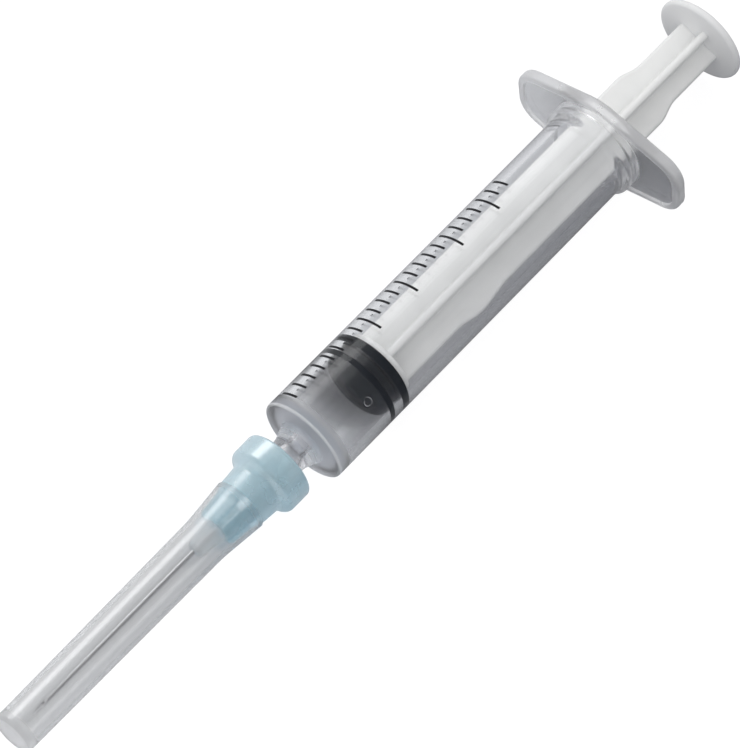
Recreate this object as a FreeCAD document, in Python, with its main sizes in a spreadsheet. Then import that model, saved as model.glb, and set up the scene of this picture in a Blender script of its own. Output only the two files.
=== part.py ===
import FreeCAD, Part
import math
import os

import Sketcher

# Disposable slip tip syringe with its needle and needle cap, lying on its side.
# Stations run along the common axis of all pieces. They are measured from the barrel's
# front face, with the needle on the minus side and the thumb disc on the plus side.

DIMENSIONS = [
    ("barrel_length", 52.85, "front face to rear face of the finger flange"),
    ("barrel_radius", 5.6, "outside of the barrel"),
    ("bore_radius", 4.5, "inside of the barrel"),
    ("front_wall", 1.1, "front face to the end of the bore"),
    ("cone_depth", 0.7, "depth of the conical end of the bore, which the gasket matches"),
    ("front_round", 0.3, "rounding of the barrel's front edge"),
    ("collar_radius", 6.2, "thickened ring in front of the flange"),
    ("collar_length", 1.75, "length of that ring, flange front face to its own front"),
    ("collar_flare", 0.7, "bevel from the barrel up to the ring"),
    ("flange_thickness", 1.5, "finger flange, front to rear"),
    ("flange_radius", 6.94, "middle of the flange outline"),
    ("wing_radius", 3.4, "corners of the wing tips"),
    ("wing_reach", 8.68, "centres of those corners, out from the axis"),
    ("wing_rise", 1.3, "centres of those corners, to each side of the wing"),
    ("wing_border", 0.85, "raised border round the wing's front face"),
    ("wing_recess", 0.25, "depth inside the border"),
    ("flange_round", 0.4, "rounding of the flange edges"),
    ("bead_height", 0.18, "retaining bead inside the rear of the bore"),
    ("bead_length", 0.8, "length of that bead"),
    ("bead_inset", 1.0, "bead to the rear face"),
    ("mouth_chamfer", 0.35, "lead-in at the rear of the bore"),
    ("neck_radius", 2.28, "plain neck behind the nozzle taper"),
    ("neck_length", 3.6, "front face to the front of the neck"),
    ("flare_start", 2.1, "front face to the start of the neck's flare"),
    ("step_radius", 2.6, "first step of the nozzle root"),
    ("step_length", 1.2, "front face to that step"),
    ("root_radius", 2.96, "second step of the nozzle root"),
    ("root_length", 0.35, "front face to that step"),
    ("taper_base", 2.16, "radius of the nozzle taper where it leaves the neck"),
    ("taper_slope", 0.03, "fall of the taper's radius for each unit of length"),
    ("taper_length", 7.0, "nozzle taper that goes into the hub"),
    ("lumen_radius", 0.9, "channel through the nozzle"),
    ("hub_gap", 0.15, "neck shoulder to the mouth of the hub"),
    ("taper_gap", 0.02, "clearance between nozzle taper and hub socket"),
    ("socket_extra", 0.5, "socket depth past the end of the nozzle"),
    ("hub_collar_radius", 4.55, "collar round the mouth of the hub"),
    ("hub_collar_length", 3.1, "length of the collar"),
    ("hub_bevel", 0.75, "length of the steep step in front of the collar"),
    ("hub_shoulder", 3.42, "body of the hub at the foot of that step"),
    ("hub_radius", 3.2, "body of the hub at the cap"),
    ("hub_body_length", 2.8, "length of that body"),
    ("hub_core_rear", 2.42, "core between the fins, at the cap's mouth"),
    ("hub_core_front", 1.95, "core between the fins, at the front"),
    ("hub_fin_length", 4.2, "length of the part that the cap covers"),
    ("fin_count", 4, "fins under the cap"),
    ("fin_thickness", 0.72, "thickness of a fin"),
    ("hub_turn", 25.0, "turn of the fins against the flange wings, degrees"),
    ("hub_round", 0.4, "rounding of the collar edges"),
    ("hub_hollow", 0.6, "rounding at the foot of the collar's step"),
    ("well_radius", 1.1, "glue well in the front of the hub"),
    ("well_depth", 1.2, "depth of the glue well"),
    ("nose_rear", 1.5, "radius of the glue nose at the hub"),
    ("nose_front", 1.05, "radius of the glue nose at its tip"),
    ("nose_length", 3.6, "length of the glue nose"),
    ("glue_gap", 0.01, "clearance round the glued pieces"),
    ("needle_radius", 0.32, "outside of the needle tube"),
    ("needle_bore", 0.17, "inside of the needle tube"),
    ("needle_reach", 26.0, "glue nose to the point"),
    ("point_length", 2.4, "length of the ground point"),
    ("needle_seat", 2.2, "needle inside the hub, behind the glue well"),
    ("cap_mouth_radius", 3.37, "outside of the cap at its mouth"),
    ("cap_throat_radius", 2.84, "outside of the cap where the flare ends"),
    ("cap_tip_radius", 2.63, "outside of the cap near its closed end"),
    ("cap_flare", 5.8, "length of the flare"),
    ("cap_wall", 0.48, "wall of the cap"),
    ("cap_end_wall", 0.9, "closed end of the cap"),
    ("cap_round", 1.1, "rounding of the closed end"),
    ("cap_gap", 0.04, "clearance between the cap and the hub fins"),
    ("cap_point_gap", 2.6, "needle point to the inside of the closed end"),
    ("gasket_front", 8.9, "front face to the gasket's front shoulder at rest"),
    ("rib_width", 1.0, "front sealing rib"),
    ("rear_rib_width", 1.3, "rear sealing rib"),
    ("groove_width", 1.1, "groove between the sealing ribs"),
    ("groove_depth", 0.5, "depth of that groove"),
    ("rib_round", 0.22, "rounding of the sealing ribs"),
    ("gasket_gap", 0.03, "clearance between the sealing ribs and the bore"),
    ("boss_radius", 2.3, "head of the rod inside the gasket"),
    ("boss_neck_radius", 1.6, "neck of the rod inside the gasket"),
    ("boss_length", 2.3, "length of the rod inside the gasket"),
    ("boss_neck_length", 0.9, "length of its neck"),
    ("boss_gap", 0.03, "clearance between rod head and gasket"),
    ("disc_radius", 4.2, "round plate of the rod behind the gasket"),
    ("disc_thickness", 0.8, "thickness of that plate"),
    ("rod_core", 0.8, "round core of the rod where its ribs cross"),
    ("rib_thickness", 1.0, "thickness of the rod's four ribs"),
    ("rib_reach", 3.66, "reach of the ribs"),
    ("tail_reach", 2.92, "reach of the ribs near the thumb disc"),
    ("shoulder_station", 59.4, "front face to the start of the rib shoulder"),
    ("shoulder_length", 2.3, "length of that shoulder"),
    ("shoulder_round", 2.0, "rounding of that shoulder"),
    ("lobe_station", 23.2, "front face to the start of the stop lobe"),
    ("lobe_length", 7.5, "length of the stop lobe"),
    ("lobe_rise", 2.4, "length of its steep front"),
    ("lobe_top", 1.4, "length of its top"),
    ("lobe_reach", 4.22, "reach of the stop lobe"),
    ("rod_turn", 25.0, "turn of the rod's ribs against the flange wings, degrees"),
    ("thumb_station", 69.75, "front face to the front of the thumb disc"),
    ("thumb_thickness", 0.95, "thickness of the thumb disc"),
    ("thumb_radius", 5.8, "radius of the thumb disc"),
    ("thumb_round", 0.4, "rounding of its rim"),
    ("thumb_dish_radius", 4.7, "flat dish in its rear face"),
    ("thumb_dish", 0.2, "depth of that dish"),
    ("mark_first", 1.83, "front face to the first graduation"),
    ("mark_pitch", 1.573, "graduation to graduation"),
    ("mark_count", 24, "graduations"),
    ("mark_width", 0.3, "stroke of a graduation"),
    ("mark_ink", 0.04, "thickness of the ink"),
    ("mark_start", 47.0, "common end of the graduations, turned from the top, degrees"),
    ("mark_short", 28.0, "sweep of a short graduation, degrees"),
    ("mark_long", 43.5, "sweep of a long graduation, degrees"),
]

LONG_MARKS = (9, 13, 18, 22)

doc = FreeCAD.newDocument("syringe")
sheet = doc.addObject("Spreadsheet::Sheet", "dims")
size = {}
for row, (name, value, note) in enumerate(DIMENSIONS, start=1):
    sheet.set(f"A{row}", note)
    sheet.set(f"B{row}", str(value))
    sheet.setAlias(f"B{row}", name)
    size[name] = value
doc.recompute()


def worked_out(expression):
    """The number that an expression over the sheet's sizes gives."""
    return sheet.evalExpression(expression.replace("dims.", ""))


# Stations that several pieces share, as expressions over the sheet.
FLANGE_FRONT = "(dims.barrel_length - dims.flange_thickness)"
HUB_MOUTH = "(-dims.neck_length - dims.hub_gap)"
HUB_BEVEL_REAR = f"({HUB_MOUTH} - dims.hub_collar_length)"
HUB_BEVEL_FRONT = f"({HUB_BEVEL_REAR} - dims.hub_bevel)"
CAP_MOUTH = f"({HUB_BEVEL_FRONT} - dims.hub_body_length)"
HUB_FRONT = f"({CAP_MOUTH} - dims.hub_fin_length)"
NOSE_TIP = f"({HUB_FRONT} - dims.nose_length)"
NEEDLE_POINT = f"({NOSE_TIP} - dims.needle_reach)"
CAP_INNER_END = f"({NEEDLE_POINT} - dims.cap_point_gap)"
CAP_END = f"({CAP_INNER_END} - dims.cap_end_wall)"
RIB_REAR = "(dims.gasket_front + dims.rib_width)"
GROOVE_REAR = f"({RIB_REAR} + dims.groove_width)"
GASKET_REAR = f"({GROOVE_REAR} + dims.rear_rib_width)"
DISC_REAR = f"({GASKET_REAR} + dims.disc_thickness)"
THUMB_REAR = "(dims.thumb_station + dims.thumb_thickness)"
NOZZLE_TIP = "(-dims.neck_length - dims.taper_length)"
SOCKET_END = f"({NOZZLE_TIP} - dims.socket_extra)"
RIB_RADIUS = "(dims.bore_radius - dims.gasket_gap)"
NEEDLE_REAR = f"({HUB_FRONT} + dims.well_depth + dims.needle_seat)"

# The origin of the whole part lies under the middle of its length, on the surface it rests on.
MIDDLE = f"(({CAP_END} + {THUMB_REAR}) / 2)"


def new_body(label, turn=None):
    """A body whose own X axis is the syringe's axis, set down on the resting surface."""
    body = doc.addObject("PartDesign::Body", label)
    body.Label = label
    body.setExpression("Placement.Base.x", f"-1mm * {MIDDLE}")
    body.setExpression("Placement.Base.z", "1mm * dims.flange_radius")
    if turn:
        body.Placement.Rotation = FreeCAD.Rotation(FreeCAD.Vector(1, 0, 0), 0)
        body.setExpression("Placement.Rotation.Angle", f"{turn} * 1deg")
    return body


def new_sketch(body, name, role="XY_Plane", offset=None):
    """A sketch on one of the body's own origin planes, moved off it by an expression."""
    sketch = body.newObject("Sketcher::SketchObject", name)
    plane = next(item for item in body.Origin.OriginFeatures if item.Role == role)
    sketch.AttachmentSupport = [(plane, "")]
    sketch.MapMode = "FlatFace"
    if offset:
        sketch.setExpression("AttachmentOffset.Base.z", f"1mm * {offset}")
    return sketch


def tie(sketch, kind, element, point, expression, label):
    """Hold one coordinate of a sketch point at an expression over the sheet."""
    value = worked_out(expression)
    if abs(value) < 1e-9:
        axis = -2 if kind == "DistanceX" else -1
        sketch.addConstraint(Sketcher.Constraint("PointOnObject", element, point, axis))
        return
    number = sketch.addConstraint(Sketcher.Constraint(kind, -1, 1, element, point, value))
    sketch.renameConstraint(number, label)
    sketch.setExpression(f"Constraints.{label}", expression)


def add_profile(sketch, points, tag="p"):
    """A closed outline of straight lines through points given as pairs of expressions."""
    spots = [FreeCAD.Vector(worked_out(x), worked_out(y), 0) for x, y in points]
    first = sketch.GeometryCount
    count = len(spots)
    for index in range(count):
        sketch.addGeometry(Part.LineSegment(spots[index], spots[(index + 1) % count]), False)
    for index in range(count):
        following = first + (index + 1) % count
        sketch.addConstraint(Sketcher.Constraint("Coincident", first + index, 2, following, 1))
    for index, (x, y) in enumerate(points):
        tie(sketch, "DistanceX", first + index, 1, x, f"{tag}{index}x")
        tie(sketch, "DistanceY", first + index, 1, y, f"{tag}{index}y")


def turned(body, name, points, cut=False):
    """Turn an outline once round the syringe's axis, adding or cutting."""
    sketch = new_sketch(body, f"{name}_outline")
    add_profile(sketch, points)
    kind = "PartDesign::Groove" if cut else "PartDesign::Revolution"
    feature = body.newObject(kind, name)
    feature.Profile = sketch
    feature.ReferenceAxis = (sketch, ["H_Axis"])
    feature.Angle = 360
    before = None if not cut else feature.BaseFeature.Shape.Volume
    doc.recompute()
    if cut and not feature.Shape.Volume < before - 1e-6:
        raise RuntimeError(f"{name} cuts nothing")
    return feature


def padded(body, name, sketch, length, midplane=False):
    """Pad a sketch by an expression."""
    pad = body.newObject("PartDesign::Pad", name)
    pad.Profile = sketch
    pad.setExpression("Length", length)
    if midplane:
        pad.SideType = "Symmetric"
    doc.recompute()
    return pad


def ring_edges(feature, rings):
    """Names of the round edges at given stations and radii, both given as expressions."""
    wanted = [(worked_out(x), worked_out(radius)) for x, radius in rings]
    names = []
    for number, edge in enumerate(feature.Shape.Edges, start=1):
        if edge.Curve.TypeId != "Part::GeomCircle":
            continue
        spot = (edge.Curve.Center.x, edge.Curve.Radius)
        if any(math.dist(spot, ring) < 1e-4 for ring in wanted):
            names.append(f"Edge{number}")
    if not names:
        raise RuntimeError("no edge to round")
    return names


def rounded(body, name, feature, edges, radius):
    """Round the named edges of a feature."""
    fillet = body.newObject("PartDesign::Fillet", name)
    fillet.Base = (feature, edges)
    fillet.setExpression("Radius", radius)
    doc.recompute()
    return fillet


def add_wing_outline(sketch, inset, tag):
    """Flange outline: two middle arcs, four tip corners and the tangent lines between.

    It is drawn in the flange plane with the wings along the sketch's first axis. The inset
    takes the same length off every radius, which moves the whole outline inwards by it.
    """
    middle = worked_out(f"dims.flange_radius - {inset}")
    corner = worked_out(f"dims.wing_radius - {inset}")
    reach = size["wing_reach"]
    rise = size["wing_rise"]
    # The slanted side touches the middle arc and the corner arc at one common angle.
    span = math.hypot(reach, rise)
    slant = math.acos((middle - corner) / span) + math.atan2(rise, reach)
    z_axis = FreeCAD.Vector(0, 0, 1)

    def arc(centre_x, centre_y, radius, start, end):
        circle = Part.Circle(FreeCAD.Vector(centre_x, centre_y, 0), z_axis, radius)
        return sketch.addGeometry(Part.ArcOfCircle(circle, start, end), False)

    def line(start, end):
        return sketch.addGeometry(Part.LineSegment(start, end), False)

    def spot(centre_x, centre_y, radius, angle):
        return FreeCAD.Vector(centre_x + radius * math.cos(angle),
                              centre_y + radius * math.sin(angle), 0)

    full = math.pi
    top = arc(0, 0, middle, slant, full - slant)
    left_side = line(spot(0, 0, middle, full - slant), spot(-reach, rise, corner, full - slant))
    left_top = arc(-reach, rise, corner, full - slant, full)
    left_tip = line(spot(-reach, rise, corner, full), spot(-reach, -rise, corner, full))
    left_low = arc(-reach, -rise, corner, full, full + slant)
    left_under = line(spot(-reach, -rise, corner, full + slant), spot(0, 0, middle, full + slant))
    bottom = arc(0, 0, middle, full + slant, 2 * full - slant)
    right_under = line(spot(0, 0, middle, -slant), spot(reach, -rise, corner, -slant))
    right_low = arc(reach, -rise, corner, 2 * full - slant, 2 * full)
    right_tip = line(spot(reach, -rise, corner, 0), spot(reach, rise, corner, 0))
    right_top = arc(reach, rise, corner, 0, slant)
    right_side = line(spot(reach, rise, corner, slant), spot(0, 0, middle, slant))

    chain = [top, left_side, left_top, left_tip, left_low, left_under,
             bottom, right_under, right_low, right_tip, right_top, right_side]
    for index, element in enumerate(chain):
        following = chain[(index + 1) % len(chain)]
        sketch.addConstraint(Sketcher.Constraint("Tangent", element, 2, following, 1))
    for element, label in ((top, "top"), (bottom, "bottom")):
        sketch.addConstraint(Sketcher.Constraint("Coincident", element, 3, -1, 1))
        number = sketch.addConstraint(Sketcher.Constraint("Radius", element, middle))
        sketch.renameConstraint(number, f"{tag}_{label}")
        sketch.setExpression(f"Constraints.{tag}_{label}", f"dims.flange_radius - {inset}")
    corners = ((left_top, -1, 1), (left_low, -1, -1), (right_low, 1, -1), (right_top, 1, 1))
    for number, (element, side, height) in enumerate(corners):
        tie(sketch, "DistanceX", element, 3, f"{side} * dims.wing_reach", f"{tag}{number}x")
        tie(sketch, "DistanceY", element, 3, f"{height} * dims.wing_rise", f"{tag}{number}y")
    number = sketch.addConstraint(Sketcher.Constraint("Radius", left_top, corner))
    sketch.renameConstraint(number, f"{tag}_corner")
    sketch.setExpression(f"Constraints.{tag}_corner", f"dims.wing_radius - {inset}")


def make_barrel():
    """Barrel, nozzle and finger flange, moulded as one piece."""
    body = new_body("barrel")
    taper_tip = "(dims.taper_base - dims.taper_slope * dims.taper_length)"
    collar_front = f"({FLANGE_FRONT} - dims.collar_length)"
    outside = turned(body, "barrel_outside", [
        (NOZZLE_TIP, "0"),
        (NOZZLE_TIP, taper_tip),
        ("-dims.neck_length", "dims.taper_base"),
        ("-dims.neck_length", "dims.neck_radius"),
        ("-dims.flare_start", "dims.neck_radius"),
        ("-dims.step_length", "dims.step_radius"),
        ("-dims.root_length", "dims.root_radius"),
        ("0", "dims.root_radius"),
        ("0", "dims.barrel_radius"),
        (f"{collar_front} - dims.collar_flare", "dims.barrel_radius"),
        (collar_front, "dims.collar_radius"),
        (FLANGE_FRONT, "dims.collar_radius"),
        (FLANGE_FRONT, "dims.flange_radius"),
        ("dims.barrel_length", "dims.flange_radius"),
        ("dims.barrel_length", "0"),
    ])
    front = rounded(body, "barrel_front_edge", outside,
                    ring_edges(outside, [("0", "dims.barrel_radius")]), "dims.front_round")
    root = rounded(body, "nozzle_root", front,
                   ring_edges(front, [("0", "dims.root_radius"),
                                      (FLANGE_FRONT, "dims.collar_radius")]),
                   "dims.front_round")

    # The plate stops short of the front face by the recess, and the border closes the rest.
    plate_sketch = new_sketch(body, "flange_outline", "YZ_Plane",
                              f"({FLANGE_FRONT} + dims.wing_recess)")
    add_wing_outline(plate_sketch, "0", "plate")
    plate = padded(body, "flange_plate", plate_sketch, "dims.flange_thickness - dims.wing_recess")
    border_sketch = new_sketch(body, "border_outline", "YZ_Plane", FLANGE_FRONT)
    add_wing_outline(border_sketch, "0", "outer")
    add_wing_outline(border_sketch, "dims.wing_border", "inner")
    border = padded(body, "flange_border", border_sketch, "dims.wing_recess")
    rim = [f"Edge{number}" for number, edge in enumerate(border.Shape.Edges, start=1)
           if on_flange_rim(edge)]
    edge_round = rounded(body, "flange_edges", border, rim, "dims.flange_round")

    bead = "(dims.bore_radius - dims.bead_height)"
    bead_rear = "(dims.barrel_length - dims.bead_inset)"
    turned(body, "barrel_bore", [
        (f"{NOZZLE_TIP} - 1", "0"),
        (f"{NOZZLE_TIP} - 1", "dims.lumen_radius"),
        ("dims.front_wall - dims.cone_depth", "dims.lumen_radius"),
        ("dims.front_wall", "dims.bore_radius"),
        (f"{bead_rear} - dims.bead_length", "dims.bore_radius"),
        (f"{bead_rear} - dims.bead_length / 2", bead),
        (bead_rear, "dims.bore_radius"),
        ("dims.barrel_length - dims.mouth_chamfer", "dims.bore_radius"),
        ("dims.barrel_length", "dims.bore_radius + dims.mouth_chamfer"),
        ("dims.barrel_length + 1", "dims.bore_radius + dims.mouth_chamfer"),
        ("dims.barrel_length + 1", "0"),
    ], cut=True)
    return body


def on_flange_rim(edge):
    """True for an edge that follows the flange outline on its front or rear face."""
    ends = (worked_out(FLANGE_FRONT), size["barrel_length"])
    box = edge.BoundBox
    flat = box.XMax - box.XMin < 1e-6 and any(abs(box.XMin - x) < 1e-6 for x in ends)
    if not flat:
        return False
    middle = edge.valueAt((edge.FirstParameter + edge.LastParameter) / 2)
    return abs(outline_distance(middle.y, middle.z)) < 1e-3


def outline_distance(across, height):
    """How far a point of the flange plane lies outside the flange outline."""
    across, height = abs(across), abs(height)
    reach, rise = size["wing_reach"], size["wing_rise"]
    middle, corner = size["flange_radius"], size["wing_radius"]
    slant = math.acos((middle - corner) / math.hypot(reach, rise)) + math.atan2(rise, reach)
    if math.atan2(height, across) >= slant:
        return math.hypot(across, height) - middle
    if height <= rise:
        return across - reach - corner
    if math.atan2(height - rise, across - reach) <= slant and across >= reach:
        return math.hypot(across - reach, height - rise) - corner
    return across * math.cos(slant) + height * math.sin(slant) - middle


def make_graduations(barrel):
    """Ink strokes on the barrel, a group of thin strips bent to its outside."""
    slices = []
    for number in range(1, int(size["mark_count"]) + 1):
        stroke = doc.addObject("Part::Cylinder", f"stroke_{number}")
        stroke.setExpression("Radius", "dims.barrel_radius + dims.mark_ink")
        stroke.setExpression("Height", "dims.mark_width")
        sweep = "dims.mark_long" if number in LONG_MARKS else "dims.mark_short"
        stroke.setExpression("Angle", f"{sweep} * 1deg")
        # Turned so that its own axis lies along the barrel and its first edge points up.
        stroke.Placement.Rotation = FreeCAD.Rotation(FreeCAD.Vector(0, 1, 0), 90) \
            * FreeCAD.Rotation(FreeCAD.Vector(0, 0, 1), 180 - size["mark_start"])
        stroke.setExpression(
            "Placement.Base.x",
            f"1mm * (dims.mark_first + {number - 1} * dims.mark_pitch - dims.mark_width / 2)")
        slices.append(stroke)
    group = doc.addObject("Part::Compound", "strokes")
    group.Links = slices
    core = doc.addObject("Part::Cylinder", "barrel_skin")
    core.setExpression("Radius", "dims.barrel_radius")
    core.setExpression("Height", "dims.barrel_length")
    core.Placement.Rotation = FreeCAD.Rotation(FreeCAD.Vector(0, 1, 0), 90)
    marks = doc.addObject("Part::Cut", "graduations")
    marks.Base = group
    marks.Tool = core
    marks.Label = "graduations"
    marks.setExpression("Placement.Base.x", "barrel.Placement.Base.x")
    marks.setExpression("Placement.Base.z", "barrel.Placement.Base.z")
    return marks


def make_gasket():
    """Rubber gasket with two sealing ribs, hollow at the back for the head of the rod."""
    body = new_body("gasket")
    groove = f"({RIB_RADIUS} - dims.groove_depth)"
    nose_flat = "dims.lumen_radius"
    head_front = f"({GASKET_REAR} - dims.boss_length - dims.boss_gap)"
    head_rear = f"({GASKET_REAR} - dims.boss_neck_length + dims.boss_gap)"
    head = "(dims.boss_radius + dims.boss_gap)"
    neck = "(dims.boss_neck_radius + dims.boss_gap)"
    outside = turned(body, "gasket_body", [
        ("dims.gasket_front - dims.cone_depth", "0"),
        ("dims.gasket_front - dims.cone_depth", nose_flat),
        ("dims.gasket_front", RIB_RADIUS),
        (RIB_REAR, RIB_RADIUS),
        (RIB_REAR, groove),
        (GROOVE_REAR, groove),
        (GROOVE_REAR, RIB_RADIUS),
        (GASKET_REAR, RIB_RADIUS),
        (GASKET_REAR, neck),
        (head_rear, neck),
        (head_rear, head),
        (head_front, head),
        (head_front, "0"),
    ])
    ribs = [("dims.gasket_front", RIB_RADIUS), (RIB_REAR, RIB_RADIUS),
            (GROOVE_REAR, RIB_RADIUS), (GASKET_REAR, RIB_RADIUS)]
    rounded(body, "gasket_ribs", outside, ring_edges(outside, ribs), "dims.rib_round")
    return body


def make_plunger_rod():
    """Plunger rod: head for the gasket, round plate, four ribs, stop lobe and thumb disc."""
    body = new_body("plunger_rod", "dims.rod_turn")
    head_front = f"({GASKET_REAR} - dims.boss_length)"
    head_rear = f"({GASKET_REAR} - dims.boss_neck_length)"
    spine = turned(body, "rod_spine", [
        (head_front, "0"),
        (head_front, "dims.boss_neck_radius"),
        (f"({head_front} + {head_rear}) / 2", "dims.boss_radius"),
        (head_rear, "dims.boss_radius"),
        (head_rear, "dims.boss_neck_radius"),
        (GASKET_REAR, "dims.boss_neck_radius"),
        (GASKET_REAR, "dims.disc_radius"),
        (DISC_REAR, "dims.disc_radius"),
        (DISC_REAR, "dims.rod_core"),
        ("dims.thumb_station", "dims.rod_core"),
        ("dims.thumb_station", "dims.thumb_radius"),
        (THUMB_REAR, "dims.thumb_radius"),
        (THUMB_REAR, "dims.thumb_dish_radius"),
        (f"{THUMB_REAR} - dims.thumb_dish", "dims.thumb_dish_radius - dims.thumb_dish"),
        (f"{THUMB_REAR} - dims.thumb_dish", "0"),
    ])
    rim = [("dims.thumb_station", "dims.thumb_radius"), (THUMB_REAR, "dims.thumb_radius")]
    rounded(body, "thumb_rim", spine, ring_edges(spine, rim), "dims.thumb_round")

    # Both plates of the cross overlap the discs at their ends by half a disc.
    front = f"({DISC_REAR} - dims.disc_thickness / 2)"
    rear = "(dims.thumb_station + dims.thumb_thickness / 2)"
    shoulder_end = "(dims.shoulder_station + dims.shoulder_length)"
    wide = [(front, "{side} * dims.rib_reach"), ("dims.shoulder_station", "{side} * dims.rib_reach"),
            (shoulder_end, "{side} * dims.tail_reach"), (rear, "{side} * dims.tail_reach")]
    upper = [(x, y.format(side=1)) for x, y in wide]
    lower = [(x, y.format(side=-1)) for x, y in reversed(wide)]
    lobe = [
        ("dims.lobe_station + dims.lobe_length", "-dims.rib_reach"),
        ("dims.lobe_station + dims.lobe_rise + dims.lobe_top", "-dims.lobe_reach"),
        ("dims.lobe_station + dims.lobe_rise", "-dims.lobe_reach"),
        ("dims.lobe_station", "-dims.rib_reach"),
    ]
    upright = new_sketch(body, "upright_ribs_outline", "XZ_Plane")
    add_profile(upright, upper + lower)
    padded(body, "upright_ribs", upright, "dims.rib_thickness", midplane=True)
    level = new_sketch(body, "level_ribs_outline", "XY_Plane")
    add_profile(level, upper + lower[:3] + lobe + lower[3:])
    ribs = padded(body, "level_ribs", level, "dims.rib_thickness", midplane=True)
    corners = [f"Edge{number}" for number, edge in enumerate(ribs.Shape.Edges, start=1)
               if on_rib_corner(edge)]
    rounded(body, "rib_corners", ribs, corners, "dims.shoulder_round")
    return body


def on_rib_corner(edge):
    """True for the short edges across a rib at its shoulders and at the stop lobe."""
    if edge.Curve.TypeId != "Part::GeomLine" or edge.Length > size["rib_thickness"] * 1.01:
        return False
    middle = edge.valueAt((edge.FirstParameter + edge.LastParameter) / 2)
    reach = max(abs(middle.y), abs(middle.z))
    lobe_start = size["lobe_station"]
    spots = [
        (size["shoulder_station"], size["rib_reach"]),
        (size["shoulder_station"] + size["shoulder_length"], size["tail_reach"]),
        (lobe_start, size["rib_reach"]),
        (lobe_start + size["lobe_rise"], size["lobe_reach"]),
        (lobe_start + size["lobe_rise"] + size["lobe_top"], size["lobe_reach"]),
        (lobe_start + size["lobe_length"], size["rib_reach"]),
    ]
    return any(math.dist((middle.x, reach), spot) < 1e-3 for spot in spots)


def make_needle_hub():
    """Needle hub: collar, step, body, four fins under the cap, tapered socket inside."""
    body = new_body("needle_hub", "dims.hub_turn")
    socket_mouth = "(dims.taper_base - dims.taper_slope * dims.hub_gap + dims.taper_gap)"
    socket_end = f"({socket_mouth} + dims.taper_slope * ({SOCKET_END} - {HUB_MOUTH}))"
    outside = turned(body, "hub_outside", [
        (HUB_MOUTH, "0"),
        (HUB_MOUTH, "dims.hub_collar_radius"),
        (HUB_BEVEL_REAR, "dims.hub_collar_radius"),
        (HUB_BEVEL_FRONT, "dims.hub_shoulder"),
        (CAP_MOUTH, "dims.hub_radius"),
        (CAP_MOUTH, "dims.hub_core_rear"),
        (HUB_FRONT, "dims.hub_core_front"),
        (HUB_FRONT, "0"),
    ])
    collar = rounded(body, "collar_edges", outside,
                     ring_edges(outside, [(HUB_MOUTH, "dims.hub_collar_radius"),
                                          (HUB_BEVEL_REAR, "dims.hub_collar_radius")]),
                     "dims.hub_round")
    rounded(body, "step_foot", collar,
            ring_edges(collar, [(HUB_BEVEL_FRONT, "dims.hub_shoulder")]), "dims.hub_hollow")
    # A fin follows the inside of the cap at the cap's clearance.
    fin_rear = "(dims.cap_mouth_radius - dims.cap_wall - dims.cap_gap)"
    flare_share = "(dims.hub_fin_length / dims.cap_flare)"
    fin_front = (f"({fin_rear} - (dims.cap_mouth_radius - dims.cap_throat_radius)"
                 f" * {flare_share})")
    fin_sketch = new_sketch(body, "fin_outline")
    add_profile(fin_sketch, [
        (CAP_MOUTH, "0.2"),
        (CAP_MOUTH, fin_rear),
        (f"{HUB_FRONT} + dims.hub_round", fin_front),
        (HUB_FRONT, f"{fin_front} - dims.hub_round"),
        (HUB_FRONT, "0.2"),
    ])
    fin = padded(body, "fin", fin_sketch, "dims.fin_thickness", midplane=True)
    fins = body.newObject("PartDesign::PolarPattern", "fins")
    fins.Originals = [fin]
    x_axis = next(item for item in body.Origin.OriginFeatures if item.Role == "X_Axis")
    fins.Axis = (x_axis, [""])
    fins.Angle = 360
    fins.setExpression("Occurrences", "dims.fin_count")
    body.Tip = fins
    doc.recompute()
    turned(body, "hub_socket", [
        (f"{HUB_MOUTH} + 1", "0"),
        (f"{HUB_MOUTH} + 1", f"{socket_mouth} + dims.taper_slope"),
        (SOCKET_END, socket_end),
        (SOCKET_END, "dims.lumen_radius"),
        (NEEDLE_REAR, "dims.needle_radius + dims.glue_gap"),
        (f"{HUB_FRONT} + dims.well_depth", "dims.needle_radius + dims.glue_gap"),
        (f"{HUB_FRONT} + dims.well_depth", "dims.well_radius"),
        (f"{HUB_FRONT} - 1", "dims.well_radius"),
        (f"{HUB_FRONT} - 1", "0"),
    ], cut=True)
    return body


def make_adhesive():
    """Milky glue nose that fills the well of the hub and holds the needle."""
    body = new_body("adhesive")
    bore = "(dims.needle_radius + dims.glue_gap)"
    stem = "(dims.well_radius - dims.glue_gap)"
    nose = turned(body, "glue_nose", [
        (f"{HUB_FRONT} + dims.well_depth - dims.glue_gap", bore),
        (f"{HUB_FRONT} + dims.well_depth - dims.glue_gap", stem),
        (HUB_FRONT, stem),
        (HUB_FRONT, "dims.nose_rear"),
        (NOSE_TIP, "dims.nose_front"),
        (NOSE_TIP, bore),
    ])
    rounded(body, "glue_tip", nose, ring_edges(nose, [(NOSE_TIP, "dims.nose_front")]),
            "dims.nose_front * 0.6")
    return body


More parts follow.
